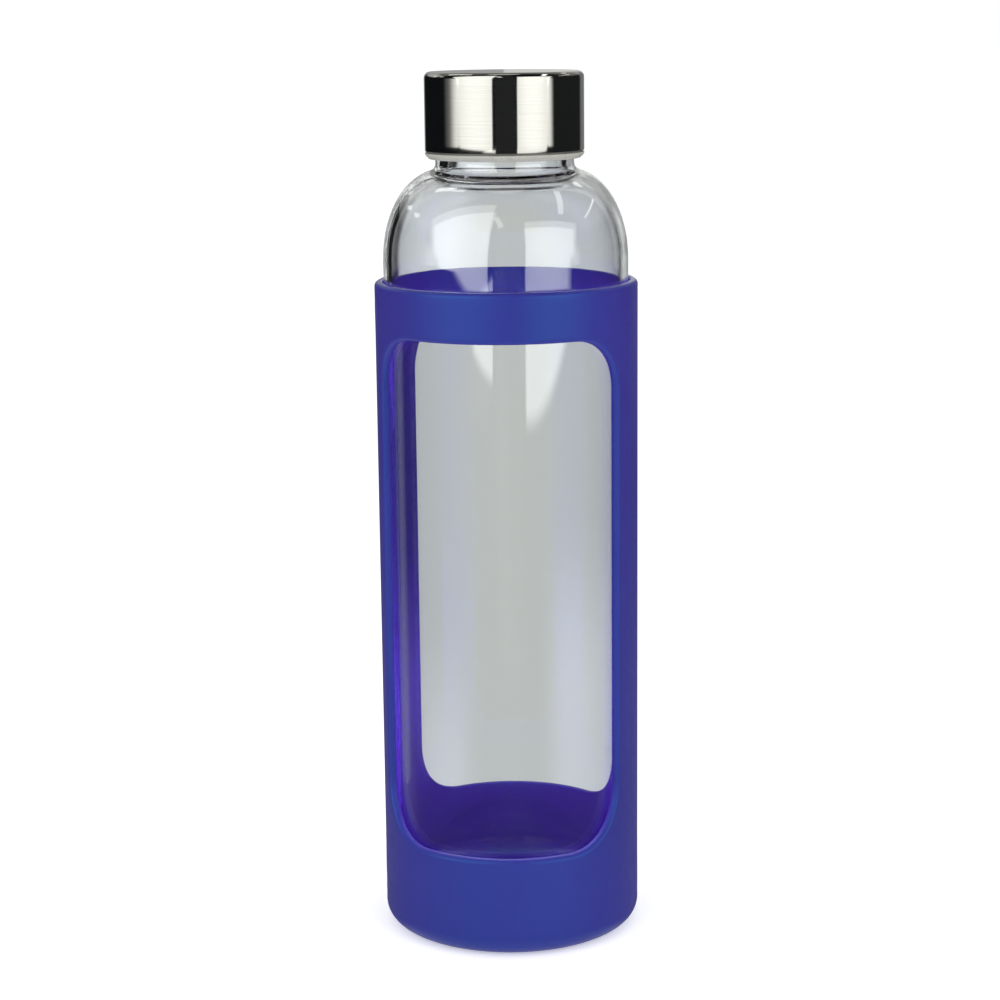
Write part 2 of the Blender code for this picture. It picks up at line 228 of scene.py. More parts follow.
def build_sleeve():
    bm = bmesh.new()
    shared = {}

    def vert(r, s, z, turn):
        a = s / SLEEVE_BORE - math.pi / 2 + turn
        key = (round(r, 4), round((a % TAU) * 1e5) % round(TAU * 1e5), round(z, 4))
        if key not in shared:
            shared[key] = bm.verts.new((r * math.cos(a) * MM, r * math.sin(a) * MM, z * MM))
        return shared[key]

    out_b, out_t = SLEEVE_FOOT, SLEEVE_H - LIP_OUT
    in_b, in_t = SLEEVE_FLOOR + SLEEVE_INNER_FOOT, SLEEVE_H - LIP_IN

    def panel(radius, grow, zb, zt, turn):
        """Loops from the window's edge out to the panel's border."""
        near = [window_loop(grow + g) for g in (0.0, 0.35, 1.0)]
        far = panel_loop(zb, zt)
        loops = list(near)
        for t in (0.2, 0.42, 0.66, 0.85, 1.0):
            loops.append([(p[0] + (q[0] - p[0]) * t, p[1] + (q[1] - p[1]) * t)
                          for p, q in zip(near[-1], far)])
        return [[vert(radius, s, z, turn) for s, z in loop] for loop in loops]

    for turn in (0.0, math.pi):
        outer = panel(SLEEVE_R, EASE_OUT, out_b, out_t, turn)
        inner = panel(SLEEVE_BORE, EASE_IN, in_b, in_t, turn)
        rim = []
        for i in range(1, 6):
            a = math.radians(90 * i / 6)
            rim.append((SLEEVE_R - EASE_OUT + EASE_OUT * math.cos(a), EASE_OUT * (1 - math.sin(a))))
        rim.append((SLEEVE_R - EASE_OUT, 0.0))
        rim.append((SLEEVE_BORE + EASE_IN, 0.0))
        for i in range(1, 3):
            a = math.radians(90 * i / 3)
            rim.append((SLEEVE_BORE + EASE_IN * (1 - math.sin(a)), EASE_IN * (1 - math.cos(a))))
        wall = [[vert(r, s, z, turn) for s, z in window_loop(g)] for r, g in rim]
        loops = outer[::-1] + wall + inner
        for a, b in zip(loops, loops[1:]):
            bridge(bm, a, b)

    def border(radius, z):
        out = []
        for i in range(SEG):
            s = -math.pi / 2 * SLEEVE_BORE + math.pi * SLEEVE_BORE * i / K
            out.append(vert(radius, s, z, 0.0))
        return out

    def plain(r, z):
        if r < 1e-6:
            return [bm.verts.new((0.0, 0.0, z * MM))]
        out = []
        for i in range(SEG):
            a = -math.pi + TAU * i / SEG
            out.append(bm.verts.new((r * math.cos(a) * MM, r * math.sin(a) * MM, z * MM)))
        return out

    lip = arc(SLEEVE_R - LIP_OUT, SLEEVE_H - LIP_OUT, LIP_OUT, 0, 90, 8)[1:]
    lip += arc(SLEEVE_BORE + LIP_IN, SLEEVE_H - LIP_IN, LIP_IN, 90, 180, 5)[:-1]
    rows = [border(SLEEVE_R, out_t)] + [plain(r, z) for r, z in clean(lip)] + [border(SLEEVE_BORE, in_t)]
    for a, b in zip(rows, rows[1:]):
        bridge(bm, a, b)

    foot = arc(SLEEVE_R - SLEEVE_FOOT, SLEEVE_FOOT, SLEEVE_FOOT, 0, -90, 14)[1:]
    for r0, r1 in reversed(GROOVES):
        foot += [(r1 + 0.15, 0.0), (r1, 0.05), (r1 - 0.25, GROOVE_DEPTH - 0.1), (r1 - 0.4, GROOVE_DEPTH),
                 (r0 + 0.4, GROOVE_DEPTH), (r0 + 0.25, GROOVE_DEPTH - 0.1), (r0, 0.05), (r0 - 0.15, 0.0)]
    foot += line((GROOVES[0][0] - 0.15, 0.0), (0.0, 0.0), 5, True)[1:]
    rows = [border(SLEEVE_R, out_b)] + [plain(r, z) for r, z in clean(foot)]
    for a, b in zip(rows, rows[1:]):
        bridge(bm, a, b)

    well = arc(SLEEVE_BORE - SLEEVE_INNER_FOOT, in_b, SLEEVE_INNER_FOOT, 0, -90, 10)[1:]
    well += line((SLEEVE_BORE - SLEEVE_INNER_FOOT, SLEEVE_FLOOR), (0.0, SLEEVE_FLOOR), 6, True)[1:]
    rows = [border(SLEEVE_BORE, in_b)] + [plain(r, z) for r, z in clean(well)]
    for a, b in zip(rows, rows[1:]):
        bridge(bm, a, b)
    return make_object("sleeve_skin", bm, 40.0)


# ------------------------------------------------------------------ glass

def glass_outline():
    r = GLASS_R
    out = [(0.0, GLASS_Z0 + 1.3)]
    out += bezier((0.0, GLASS_Z0 + 1.3), (11.0, GLASS_Z0 + 1.25), (17.0, GLASS_Z0 + 0.12), 10)[1:]
    out += bezier((17.0, GLASS_Z0 + 0.12), (18.5, GLASS_Z0 - 0.02), (20.5, GLASS_Z0 + 0.0), 4)[1:]
    out += arc(r - HEEL, GLASS_Z0 + HEEL, HEEL, -90, 0, 16)
    out += line((r, GLASS_Z0 + HEEL), (r, SHOULDER_Z), 16)
    t_end = math.degrees(math.acos(((18.6 - (r - SHOULDER_A)) / SHOULDER_A) ** (SHOULDER_P / 2)))
    out += arc(r - SHOULDER_A, SHOULDER_Z, SHOULDER_A, 0, t_end, 40, SHOULDER_P, SHOULDER_B)
    x, z = out[-1]
    out += bezier((x, z), (NECK_R, z + 0.45), (NECK_R, z + 1.9), 8)[1:]
    out += [(NECK_R, BEAD_TOP - 0.7)]
    out += bezier((NECK_R, BEAD_TOP - 0.7), (NECK_R, BEAD_TOP), (NECK_R - 0.55, BEAD_TOP + 0.1), 4)[1:]
    out += bezier((NECK_R - 0.55, BEAD_TOP + 0.1), (ROOT_R, BEAD_TOP + 0.2), (ROOT_R, BEAD_TOP + 0.7), 4)[1:]
    out += line((ROOT_R, BEAD_TOP + 0.7), (ROOT_R, LIP_Z - 1.0), 70)
    out += arc(ROOT_R - 1.0, LIP_Z - 1.0, 1.0, 0, 90, 6)
    out += arc(BORE_R + 0.7, LIP_Z - 0.7, 0.7, 90, 180, 6)
    out += line((BORE_R, LIP_Z - 0.7), (BORE_R, 195.5), 8)
    # the bore opens smoothly into the shoulder
    a_in, b_in = SHOULDER_A - GLASS_WALL + 0.6, SHOULDER_B - GLASS_WALL - 0.5
    cx = r - SHOULDER_A - 0.6
    t0 = math.degrees(math.acos(((16.6 - cx) / a_in) ** (SHOULDER_P / 2)))
    inner = arc(cx, SHOULDER_Z, a_in, t0, 0, 36, SHOULDER_P, b_in)
    out += bezier((BORE_R, 195.5), (BORE_R + 0.05, inner[0][1] + 0.6), inner[0], 12)
    out += inner[1:]
    base = HEEL - 1.0
    floor = GLASS_Z0 + 3.6
    ri = r - GLASS_WALL
    out += line((ri, SHOULDER_Z), (ri, floor + base), 16)
    out += arc(ri - base, floor + base, base, 0, -90, 12)
    out += bezier((ri - base, floor), (11.0, floor), (0.0, floor + 0.5), 12)[1:]
    out[-1] = (0.0, out[-1][1])
    return out


def glass_shape(r, z, a):
    if BEAD_TOP + 0.7 < z < LIP_Z - 1.0 and abs(r - ROOT_R) < 1e-6:
        r += (GLASS_CREST - ROOT_R) * thread_height(a, z, 0.0, *GLASS_THREAD, 1.7, 0.8)
    return r, z


# ------------------------------------------------------------------ cap

def shell_outline():
    ro, ri = CAP_R, CAP_R - SHELL_WALL
    under = CAP_TOP - SHELL_WALL
    out = line((0.0, CAP_TOP), (ro - CAP_EDGE, CAP_TOP), 12, True)
    out += arc(ro - CAP_EDGE, CAP_TOP - CAP_EDGE, CAP_EDGE, 90, 0, 12)
    out += line((ro, CAP_TOP - CAP_EDGE), (ro, SHELL_BOTTOM + 0.25), 8)
    out += arc(ro - 0.25, SHELL_BOTTOM + 0.25, 0.25, 0, -90, 5)
    out += arc(ri + 0.12, SHELL_BOTTOM + 0.12, 0.12, -90, -180, 3)
    out += line((ri, SHELL_BOTTOM + 0.12), (ri, under - 0.5), 4)
    out += arc(ri - 0.5, under - 0.5, 0.5, 0, 90, 5)
    out += line((ri - 0.5, under), (0.0, under), 6, True)
    return out


def liner_outline():
    f, b = LINER_FLANGE, LINER_BOTTOM
    out = line((0.0, LINER_ROOF_TOP), (LINER_R - 0.7, LINER_ROOF_TOP), 6, True)
    out += arc(LINER_R - 0.7, LINER_ROOF_TOP - 0.7, 0.7, 90, 0, 5)
    out += line((LINER_R, LINER_ROOF_TOP - 0.7), (LINER_R, f), 6, True)
    out += [(CAP_R - 0.2, f)] + arc(CAP_R - 0.12, f - 0.12, 0.12, 90, 0, 3)
    out += bezier((CAP_R, f - 0.3), (CAP_R - 0.15, f - 0.8), (CAP_R - 0.75, b + 0.3), 6)
    out += bezier((CAP_R - 0.75, b + 0.3), (CAP_R - 0.9, b), (CAP_R - 1.2, b), 4)
    out += [(LINER_BORE + 0.35, b)]
    out += bezier((LINER_BORE + 0.35, b), (LINER_BORE, b), (LINER_BORE, b + 0.35), 4)
    out += line((LINER_BORE, b + 0.35), (LINER_BORE, 197.0), 4)
    out += line((LINER_BORE, 197.0), (LINER_BORE, 205.8), 50, True)
    out += line((LINER_BORE, 205.8), (LINER_BORE, LINER_ROOF - 0.3), 4, True)
    out += bezier((LINER_BORE, LINER_ROOF - 0.3), (LINER_BORE, LINER_ROOF), (LINER_BORE - 0.3, LINER_ROOF), 3)
    out += line((LINER_BORE - 0.3, LINER_ROOF), (0.0, LINER_ROOF), 6, True)
    return out


def liner_shape(r, z, a):
    if 197.0 <= z <= 205.8 and abs(r - LINER_BORE) < 1e-6:
        first = TAU * ((LINER_THREAD[0] - GLASS_THREAD[0]) / LEAD) - TAU / 4
        r -= (LINER_BORE - LINER_CREST) * thread_height(a, z, first, *LINER_THREAD, 1.7, 0.8)
    return r, z


def gasket_outline():
    c = 0.35
    out = [(GASKET_BORE, GASKET_Z + c)]
    out += arc(GASKET_BORE + c, GASKET_Z + c, c, 180, 270, 4)[1:]
    out += arc(GASKET_R - c, GASKET_Z + c, c, -90, 0, 4)
    out += arc(GASKET_R - c, GASKET_TOP - c, c, 0, 90, 4)
    out += arc(GASKET_BORE + c, GASKET_TOP - c, c, 90, 180, 4)
    return out


# ------------------------------------------------------------------ materials

def node(tree, kind, **inputs):
    n = tree.nodes.new(kind)
    for key, value in inputs.items():
        n.inputs[key.replace("_", " ")].default_value = value
    return n


def base_material(name):
    mat = bpy.data.materials.new(name)
    mat.use_nodes = True
    tree = mat.node_tree
    return mat, tree, tree.nodes["Principled BSDF"]


def silicone():
    """Moulded silicone: matte, with a fine eggshell grain and slight colour drift."""
    mat, t, p = base_material("silicone_blue_fine")
    link = t.links.new
    coord = t.nodes.new("ShaderNodeTexCoord")
    drift = node(t, "ShaderNodeTexNoise", Scale=38.0, Detail=3.0, Roughness=0.5)
    link(coord.outputs["Object"], drift.inputs["Vector"])
    ramp = t.nodes.new("ShaderNodeValToRGB")
    ramp.color_ramp.elements[0].position = 0.3
    ramp.color_ramp.elements[0].color = (0.0305, 0.0180, 0.222, 1)
    ramp.color_ramp.elements[1].position = 0.7
    ramp.color_ramp.elements[1].color = (0.0345, 0.0215, 0.246, 1)
    link(drift.outputs["Fac"], ramp.inputs["Fac"])
    # painted shade: the bore's colour is multiplied down to a deeper violet, standing in for the shade where less
    # light reaches inside it
    flat = t.nodes.new("ShaderNodeVectorMath")
    flat.operation = 'MULTIPLY'
    link(coord.outputs["Object"], flat.inputs[0])
    flat.inputs[1].default_value = (1.0, 1.0, 0.0)
    radius = t.nodes.new("ShaderNodeVectorMath")
    radius.operation = 'LENGTH'
    link(flat.outputs["Vector"], radius.inputs[0])
    wall = t.nodes.new("ShaderNodeMapRange")
    link(radius.outputs["Value"], wall.inputs["Value"])
    wall.inputs["From Min"].default_value = (SLEEVE_BORE + 0.1) * MM
    wall.inputs["From Max"].default_value = (SLEEVE_BORE + 0.9) * MM
    painted_bore_shade = t.nodes.new("ShaderNodeMix")
    painted_bore_shade.data_type = 'RGBA'
    painted_bore_shade.inputs["A"].default_value = (1.05, 0.49, 1.03, 1)
    painted_bore_shade.inputs["B"].default_value = (1.0, 1.0, 1.0, 1)
    link(wall.outputs["Result"], painted_bore_shade.inputs["Factor"])
    # the base colour is the drifting blue times the painted bore shade
    colour_with_bore_shade = t.nodes.new("ShaderNodeVectorMath")
    colour_with_bore_shade.operation = 'MULTIPLY'
    link(ramp.outputs["Color"], colour_with_bore_shade.inputs[0])
    link(painted_bore_shade.outputs["Result"], colour_with_bore_shade.inputs[1])
    link(colour_with_bore_shade.outputs["Vector"], p.inputs["Base Color"])
    grain = node(t, "ShaderNodeTexNoise", Scale=3800.0, Detail=2.0, Roughness=0.6)
    link(coord.outputs["Object"], grain.inputs["Vector"])
    soft = node(t, "ShaderNodeTexNoise", Scale=260.0, Detail=3.0, Roughness=0.55)
    link(coord.outputs["Object"], soft.inputs["Vector"])
    rough = t.nodes.new("ShaderNodeMapRange")
    rough.inputs["From Min"].default_value = 0.3
    rough.inputs["From Max"].default_value = 0.7
    rough.inputs["To Min"].default_value = 0.36
    rough.inputs["To Max"].default_value = 0.44
    link(soft.outputs["Fac"], rough.inputs["Value"])
    # the parting line along the mouth is polished
    height = t.nodes.new("ShaderNodeSeparateXYZ")
    link(coord.outputs["Object"], height.inputs["Vector"])
    lip = t.nodes.new("ShaderNodeMapRange")
    lip.inputs["From Min"].default_value = 0.16445
    lip.inputs["From Max"].default_value = 0.16470
    lip.inputs["To Min"].default_value = 1.0
    lip.inputs["To Max"].default_value = 0.30
    link(height.outputs["Z"], lip.inputs["Value"])
    worn = t.nodes.new("ShaderNodeMath")
    worn.operation = 'MULTIPLY'
    link(rough.outputs["Result"], worn.inputs[0])
    link(lip.outputs["Result"], worn.inputs[1])
    link(worn.outputs["Value"], p.inputs["Roughness"])
    bump = node(t, "ShaderNodeBump", Strength=0.12, Distance=0.00005)
    link(grain.outputs["Fac"], bump.inputs["Height"])
    link(bump.outputs["Normal"], p.inputs["Normal"])
    p.inputs["IOR"].default_value = 1.42
    p.inputs["Specular IOR Level"].default_value = 0.9
    p.inputs["Specular Tint"].default_value = (0.0, 0.75, 1.0, 1)
    p.inputs["Sheen Weight"].default_value = 0.05
    p.inputs["Sheen Roughness"].default_value = 0.45
    p.inputs["Sheen Tint"].default_value = (0.35, 0.18, 0.85, 1)
    return mat


def clear_glass():
    """Borosilicate with a faint grey body tint; light passes straight through to shadows."""
    mat, t, p = base_material("clear_glass_fine")
    link = t.links.new
    p.inputs["Base Color"].default_value = (0.95, 0.962, 0.96, 1)
    p.inputs["Transmission Weight"].default_value = 1.0
    p.inputs["IOR"].default_value = 1.474
    p.inputs["Coat Weight"].default_value = 0.8
    p.inputs["Coat IOR"].default_value = 1.6
    p.inputs["Coat Roughness"].default_value = 0.0
    coord = t.nodes.new("ShaderNodeTexCoord")
    flow = t.nodes.new("ShaderNodeMapping")
    flow.inputs["Scale"].default_value = (1.0, 1.0, 0.22)
    link(coord.outputs["Object"], flow.inputs["Vector"])
    wave = node(t, "ShaderNodeTexNoise", Scale=55.0, Detail=1.5, Roughness=0.4)
    link(flow.outputs["Vector"], wave.inputs["Vector"])
    smear = node(t, "ShaderNodeTexNoise", Scale=120.0, Detail=4.0, Roughness=0.6)
    link(coord.outputs["Object"], smear.inputs["Vector"])
    rough = t.nodes.new("ShaderNodeMapRange")
    rough.inputs["From Min"].default_value = 0.35
    rough.inputs["From Max"].default_value = 0.75
    rough.inputs["To Min"].default_value = 0.0
    rough.inputs["To Max"].default_value = 0.02
    link(smear.outputs["Fac"], rough.inputs["Value"])
    link(rough.outputs["Result"], p.inputs["Roughness"])
    bump = node(t, "ShaderNodeBump", Strength=0.10, Distance=0.0004)
    link(wave.outputs["Fac"], bump.inputs["Height"])
    link(bump.outputs["Normal"], p.inputs["Normal"])
    path = t.nodes.new("ShaderNodeLightPath")
    clear = node(t, "ShaderNodeBsdfTransparent", Color=(0.95, 0.96, 0.96, 1))
    lamp = t.nodes.new("ShaderNodeMixShader")
    link(path.outputs["Is Shadow Ray"], lamp.inputs["Fac"])
    link(p.outputs["BSDF"], lamp.inputs[1])
    link(clear.outputs["BSDF"], lamp.inputs[2])
    bounce = t.nodes.new("ShaderNodeMixShader")
    link(path.outputs["Is Diffuse Ray"], bounce.inputs["Fac"])
    link(lamp.outputs["Shader"], bounce.inputs[1])
    link(clear.outputs["BSDF"], bounce.inputs[2])
    link(bounce.outputs["Shader"], t.nodes["Material Output"].inputs["Surface"])
    return mat


def steel():
    """Stainless brushed round the axis on the side and in rings on the top."""
    mat, t, p = base_material("steel_brushed_fine")
    link = t.links.new
    coord = t.nodes.new("ShaderNodeTexCoord")
    parts = t.nodes.new("ShaderNodeSeparateXYZ")
    link(coord.outputs["Object"], parts.inputs["Vector"])
    flat = t.nodes.new("ShaderNodeCombineXYZ")
    link(parts.outputs["X"], flat.inputs["X"])
    link(parts.outputs["Y"], flat.inputs["Y"])
    length = t.nodes.new("ShaderNodeVectorMath")
    length.operation = 'LENGTH'
    link(flat.outputs["Vector"], length.inputs[0])
    across = t.nodes.new("ShaderNodeMath")
    across.operation = 'SUBTRACT'
    link(parts.outputs["Z"], across.inputs[0])
    link(length.outputs["Value"], across.inputs[1])
    stack = t.nodes.new("ShaderNodeCombineXYZ")
    link(parts.outputs["X"], stack.inputs["X"])
    link(parts.outputs["Y"], stack.inputs["Y"])
    link(across.outputs["Value"], stack.inputs["Z"])
    stretch = t.nodes.new("ShaderNodeMapping")
    stretch.inputs["Scale"].default_value = (70.0, 70.0, 9000.0)
    link(stack.outputs["Vector"], stretch.inputs["Vector"])
    hair = node(t, "ShaderNodeTexNoise", Scale=1.0, Detail=3.0, Roughness=0.65)
    link(stretch.outputs["Vector"], hair.inputs["Vector"])
    tone = t.nodes.new("ShaderNodeValToRGB")
    tone.color_ramp.elements[0].position = 0.32
    tone.color_ramp.elements[0].color = (0.470, 0.455, 0.432, 1)
    tone.color_ramp.elements[1].position = 0.68
    tone.color_ramp.elements[1].color = (0.535, 0.518, 0.492, 1)
    link(hair.outputs["Fac"], tone.inputs["Fac"])
    link(tone.outputs["Color"], p.inputs["Base Color"])
    rough = t.nodes.new("ShaderNodeMapRange")
    rough.inputs["From Min"].default_value = 0.3
    rough.inputs["From Max"].default_value = 0.7
    rough.inputs["To Min"].default_value = 0.065
    rough.inputs["To Max"].default_value = 0.09
    link(hair.outputs["Fac"], rough.inputs["Value"])
    link(rough.outputs["Result"], p.inputs["Roughness"])
    bump = node(t, "ShaderNodeBump", Strength=0.04, Distance=0.00001)
    link(hair.outputs["Fac"], bump.inputs["Height"])
    # the drawn side leans in by well under a degree
    face = t.nodes.new("ShaderNodeNewGeometry")
    lean = t.nodes.new("ShaderNodeVectorMath")
    lean.operation = 'ADD'
    link(face.outputs["Normal"], lean.inputs[0])
    lean.inputs[1].default_value = (0.0, 0.0, 0.024)
    unit = t.nodes.new("ShaderNodeVectorMath")
    unit.operation = 'NORMALIZE'
    link(lean.outputs["Vector"], unit.inputs[0])
    link(unit.outputs["Vector"], bump.inputs["Normal"])
    link(bump.outputs["Normal"], p.inputs["Normal"])
    p.inputs["Metallic"].default_value = 1.0
    p.inputs["Anisotropic"].default_value = 0.45
    p.inputs["Anisotropic Rotation"].default_value = 0.25
    tangent = t.nodes.new("ShaderNodeTangent")
    tangent.direction_type = 'RADIAL'
    tangent.axis = 'Z'
    link(tangent.outputs["Tangent"], p.inputs["Tangent"])
    return mat


def plastic(name, low, high, scale, rough_low, rough_high, subsurface=0.0, painted_shade_bore=None):
    """Moulded plastic or rubber with slight mottling and a satin skin.

    The last argument is a radius from the axis inside which the colour is painted a dark grey: painted shade, standing
    in for the shade of an enclosed thread.
    """
    mat, t, p = base_material(name)
    link = t.links.new
    coord = t.nodes.new("ShaderNodeTexCoord")
    mottle = node(t, "ShaderNodeTexNoise", Scale=scale, Detail=4.0, Roughness=0.55)
    link(coord.outputs["Object"], mottle.inputs["Vector"])
    ramp = t.nodes.new("ShaderNodeValToRGB")
    ramp.color_ramp.elements[0].position = 0.3
    ramp.color_ramp.elements[0].color = (*low, 1)
    ramp.color_ramp.elements[1].position = 0.7
    ramp.color_ramp.elements[1].color = (*high, 1)
    link(mottle.outputs["Fac"], ramp.inputs["Fac"])
    if painted_shade_bore is None:
        link(ramp.outputs["Color"], p.inputs["Base Color"])
    else:
        flat = t.nodes.new("ShaderNodeVectorMath")
        flat.operation = 'MULTIPLY'
        link(coord.outputs["Object"], flat.inputs[0])
        flat.inputs[1].default_value = (1.0, 1.0, 0.0)
        away = t.nodes.new("ShaderNodeVectorMath")
        away.operation = 'LENGTH'
        link(flat.outputs["Vector"], away.inputs[0])
        rim = t.nodes.new("ShaderNodeMapRange")
        link(away.outputs["Value"], rim.inputs["Value"])
        rim.inputs["From Min"].default_value = painted_shade_bore - 0.00015
        rim.inputs["From Max"].default_value = painted_shade_bore + 0.00015
        # painted shade: inside that radius the colour is a flat dark grey, standing in for the shade in the enclosed
        # thread and under the cap
        shade = node(t, "ShaderNodeMix")
        shade.data_type = 'RGBA'
        link(rim.outputs["Result"], shade.inputs["Factor"])
        shade.inputs["A"].default_value = (0.018, 0.019, 0.021, 1)
        link(ramp.outputs["Color"], shade.inputs["B"])
        link(shade.outputs["Result"], p.inputs["Base Color"])
    rough = t.nodes.new("ShaderNodeMapRange")
    rough.inputs["From Min"].default_value = 0.3
    rough.inputs["From Max"].default_value = 0.7
    rough.inputs["To Min"].default_value = rough_low
    rough.inputs["To Max"].default_value = rough_high
    link(mottle.outputs["Fac"], rough.inputs["Value"])
    link(rough.outputs["Result"], p.inputs["Roughness"])
    bump = node(t, "ShaderNodeBump", Strength=0.08, Distance=0.00004)
    link(mottle.outputs["Fac"], bump.inputs["Height"])
    link(bump.outputs["Normal"], p.inputs["Normal"])
    p.inputs["Subsurface Weight"].default_value = subsurface
    p.inputs["Subsurface Radius"].default_value = (0.001, 0.001, 0.0008)
    p.inputs["Subsurface Scale"].default_value = 1.0
    return mat


# ------------------------------------------------------------------ pieces

def dress(obj, mat, body, cad_node):
    obj.data.materials.clear()
    obj.data.materials.append(mat)
    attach(obj, body)
    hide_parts(cad_node)


dress(build_sleeve(), silicone(), "sleeve", "silicone_sleeve")
dress(lathe("bottle_glass_body", glass_outline(), glass_shape, 50.0), clear_glass(),
      "bottle", "glass_bottle")
dress(lathe("cap_steel_cup", shell_outline(), None, 50.0), steel(), "cap", "cap_shell")
# the liner is painted dark grey inside CAP_R - 1.25 as painted shade for its enclosed thread and underside
dress(lathe("cap_threaded_insert", liner_outline(), liner_shape, 50.0),
      plastic("liner_plastic_fine", (0.375, 0.373, 0.34), (0.42, 0.418, 0.382), 300.0, 0.24, 0.34, 0.0,
              (CAP_R - 1.25) * MM),
      "cap", "cap_liner")
dress(lathe("cap_seal_ring", gasket_outline(), None, 60.0),
      plastic("gasket_silicone_fine", (0.74, 0.74, 0.72), (0.80, 0.80, 0.78), 400.0, 0.45, 0.6, 0.1),
      "cap_seal", "cap_gasket")


# ------------------------------------------------------------------ stage, light, camera

scene = bpy.context.scene
scene.view_settings.view_transform = 'Standard'
scene.view_settings.look = 'None'
scene.view_settings.exposure = 0.0
scene.view_settings.gamma = 1.0

BACKDROP = 0.74               # what the clear glass is seen against
BOX_LEVEL = 1.9               # soft boxes, as polished metal and glass see them
TURN = math.radians(7.7)      # the camera stands this far round from the front window
CAM_D, CAM_Z = 0.58629, 0.22798
PITCH, YAW, ROLL = math.radians(11.46), math.radians(-0.2025), math.radians(-0.630)


def set_camera():
    eye = Vector((0.0, -CAM_D, CAM_Z))
    fw = Vector((math.sin(YAW) * math.cos(PITCH), math.cos(YAW) * math.cos(PITCH), -math.sin(PITCH)))
    right = fw.cross(Vector((0, 0, 1))).normalized()
    up = right.cross(fw)
    r2 = right * math.cos(ROLL) + up * math.sin(ROLL)
    u2 = -right * math.sin(ROLL) + up * math.cos(ROLL)
    m = Matrix((r2, u2, -fw)).transposed().to_4x4()
    m.translation = eye
    data = bpy.data.cameras.new("camera")
    data.sensor_width = 36.0
    data.lens = 2378.0 * 36.0 / 1000.0
    data.clip_start, data.clip_end = 0.01, 200.0
    cam = bpy.data.objects.new("camera", data)
    cam.matrix_world = Matrix.Rotation(TURN, 4, 'Z') @ m
    scene.collection.objects.link(cam)
    scene.camera = cam


def set_floor():
    bm = bmesh.new()
    n, radius = 96, 14.0
    centre = bm.verts.new((0, 0, 0))
    rim = [bm.verts.new((radius * math.cos(TAU * i / n), radius * math.sin(TAU * i / n), 0)) for i in range(n)]
    for i in range(n):
        bm.faces.new((centre, rim[i], rim[(i + 1) % n]))
    floor = make_object("studio_floor", bm)
    floor.location.z = -0.0002
    mat, t, p = base_material("studio_floor_white")
    coord = t.nodes.new("ShaderNodeTexCoord")
    noise = node(t, "ShaderNodeTexNoise", Scale=2.0, Detail=2.0)
    t.links.new(coord.outputs["Object"], noise.inputs["Vector"])
    ramp = t.nodes.new("ShaderNodeValToRGB")
    ramp.color_ramp.elements[0].color = (0.90, 0.90, 0.90, 1)
    ramp.color_ramp.elements[1].color = (0.92, 0.92, 0.92, 1)
    t.links.new(noise.outputs["Fac"], ramp.inputs["Fac"])
    t.links.new(ramp.outputs["Color"], p.inputs["Base Color"])
    p.inputs["Roughness"].default_value = 0.9
    p.inputs["Specular IOR Level"].default_value = 0.1
    p.inputs["Emission Color"].default_value = (1, 1, 1, 1)
    p.inputs["Emission Strength"].default_value = 0.40
    floor.data.materials.append(mat)
    floor.visible_glossy = False
    floor.visible_transmission = False


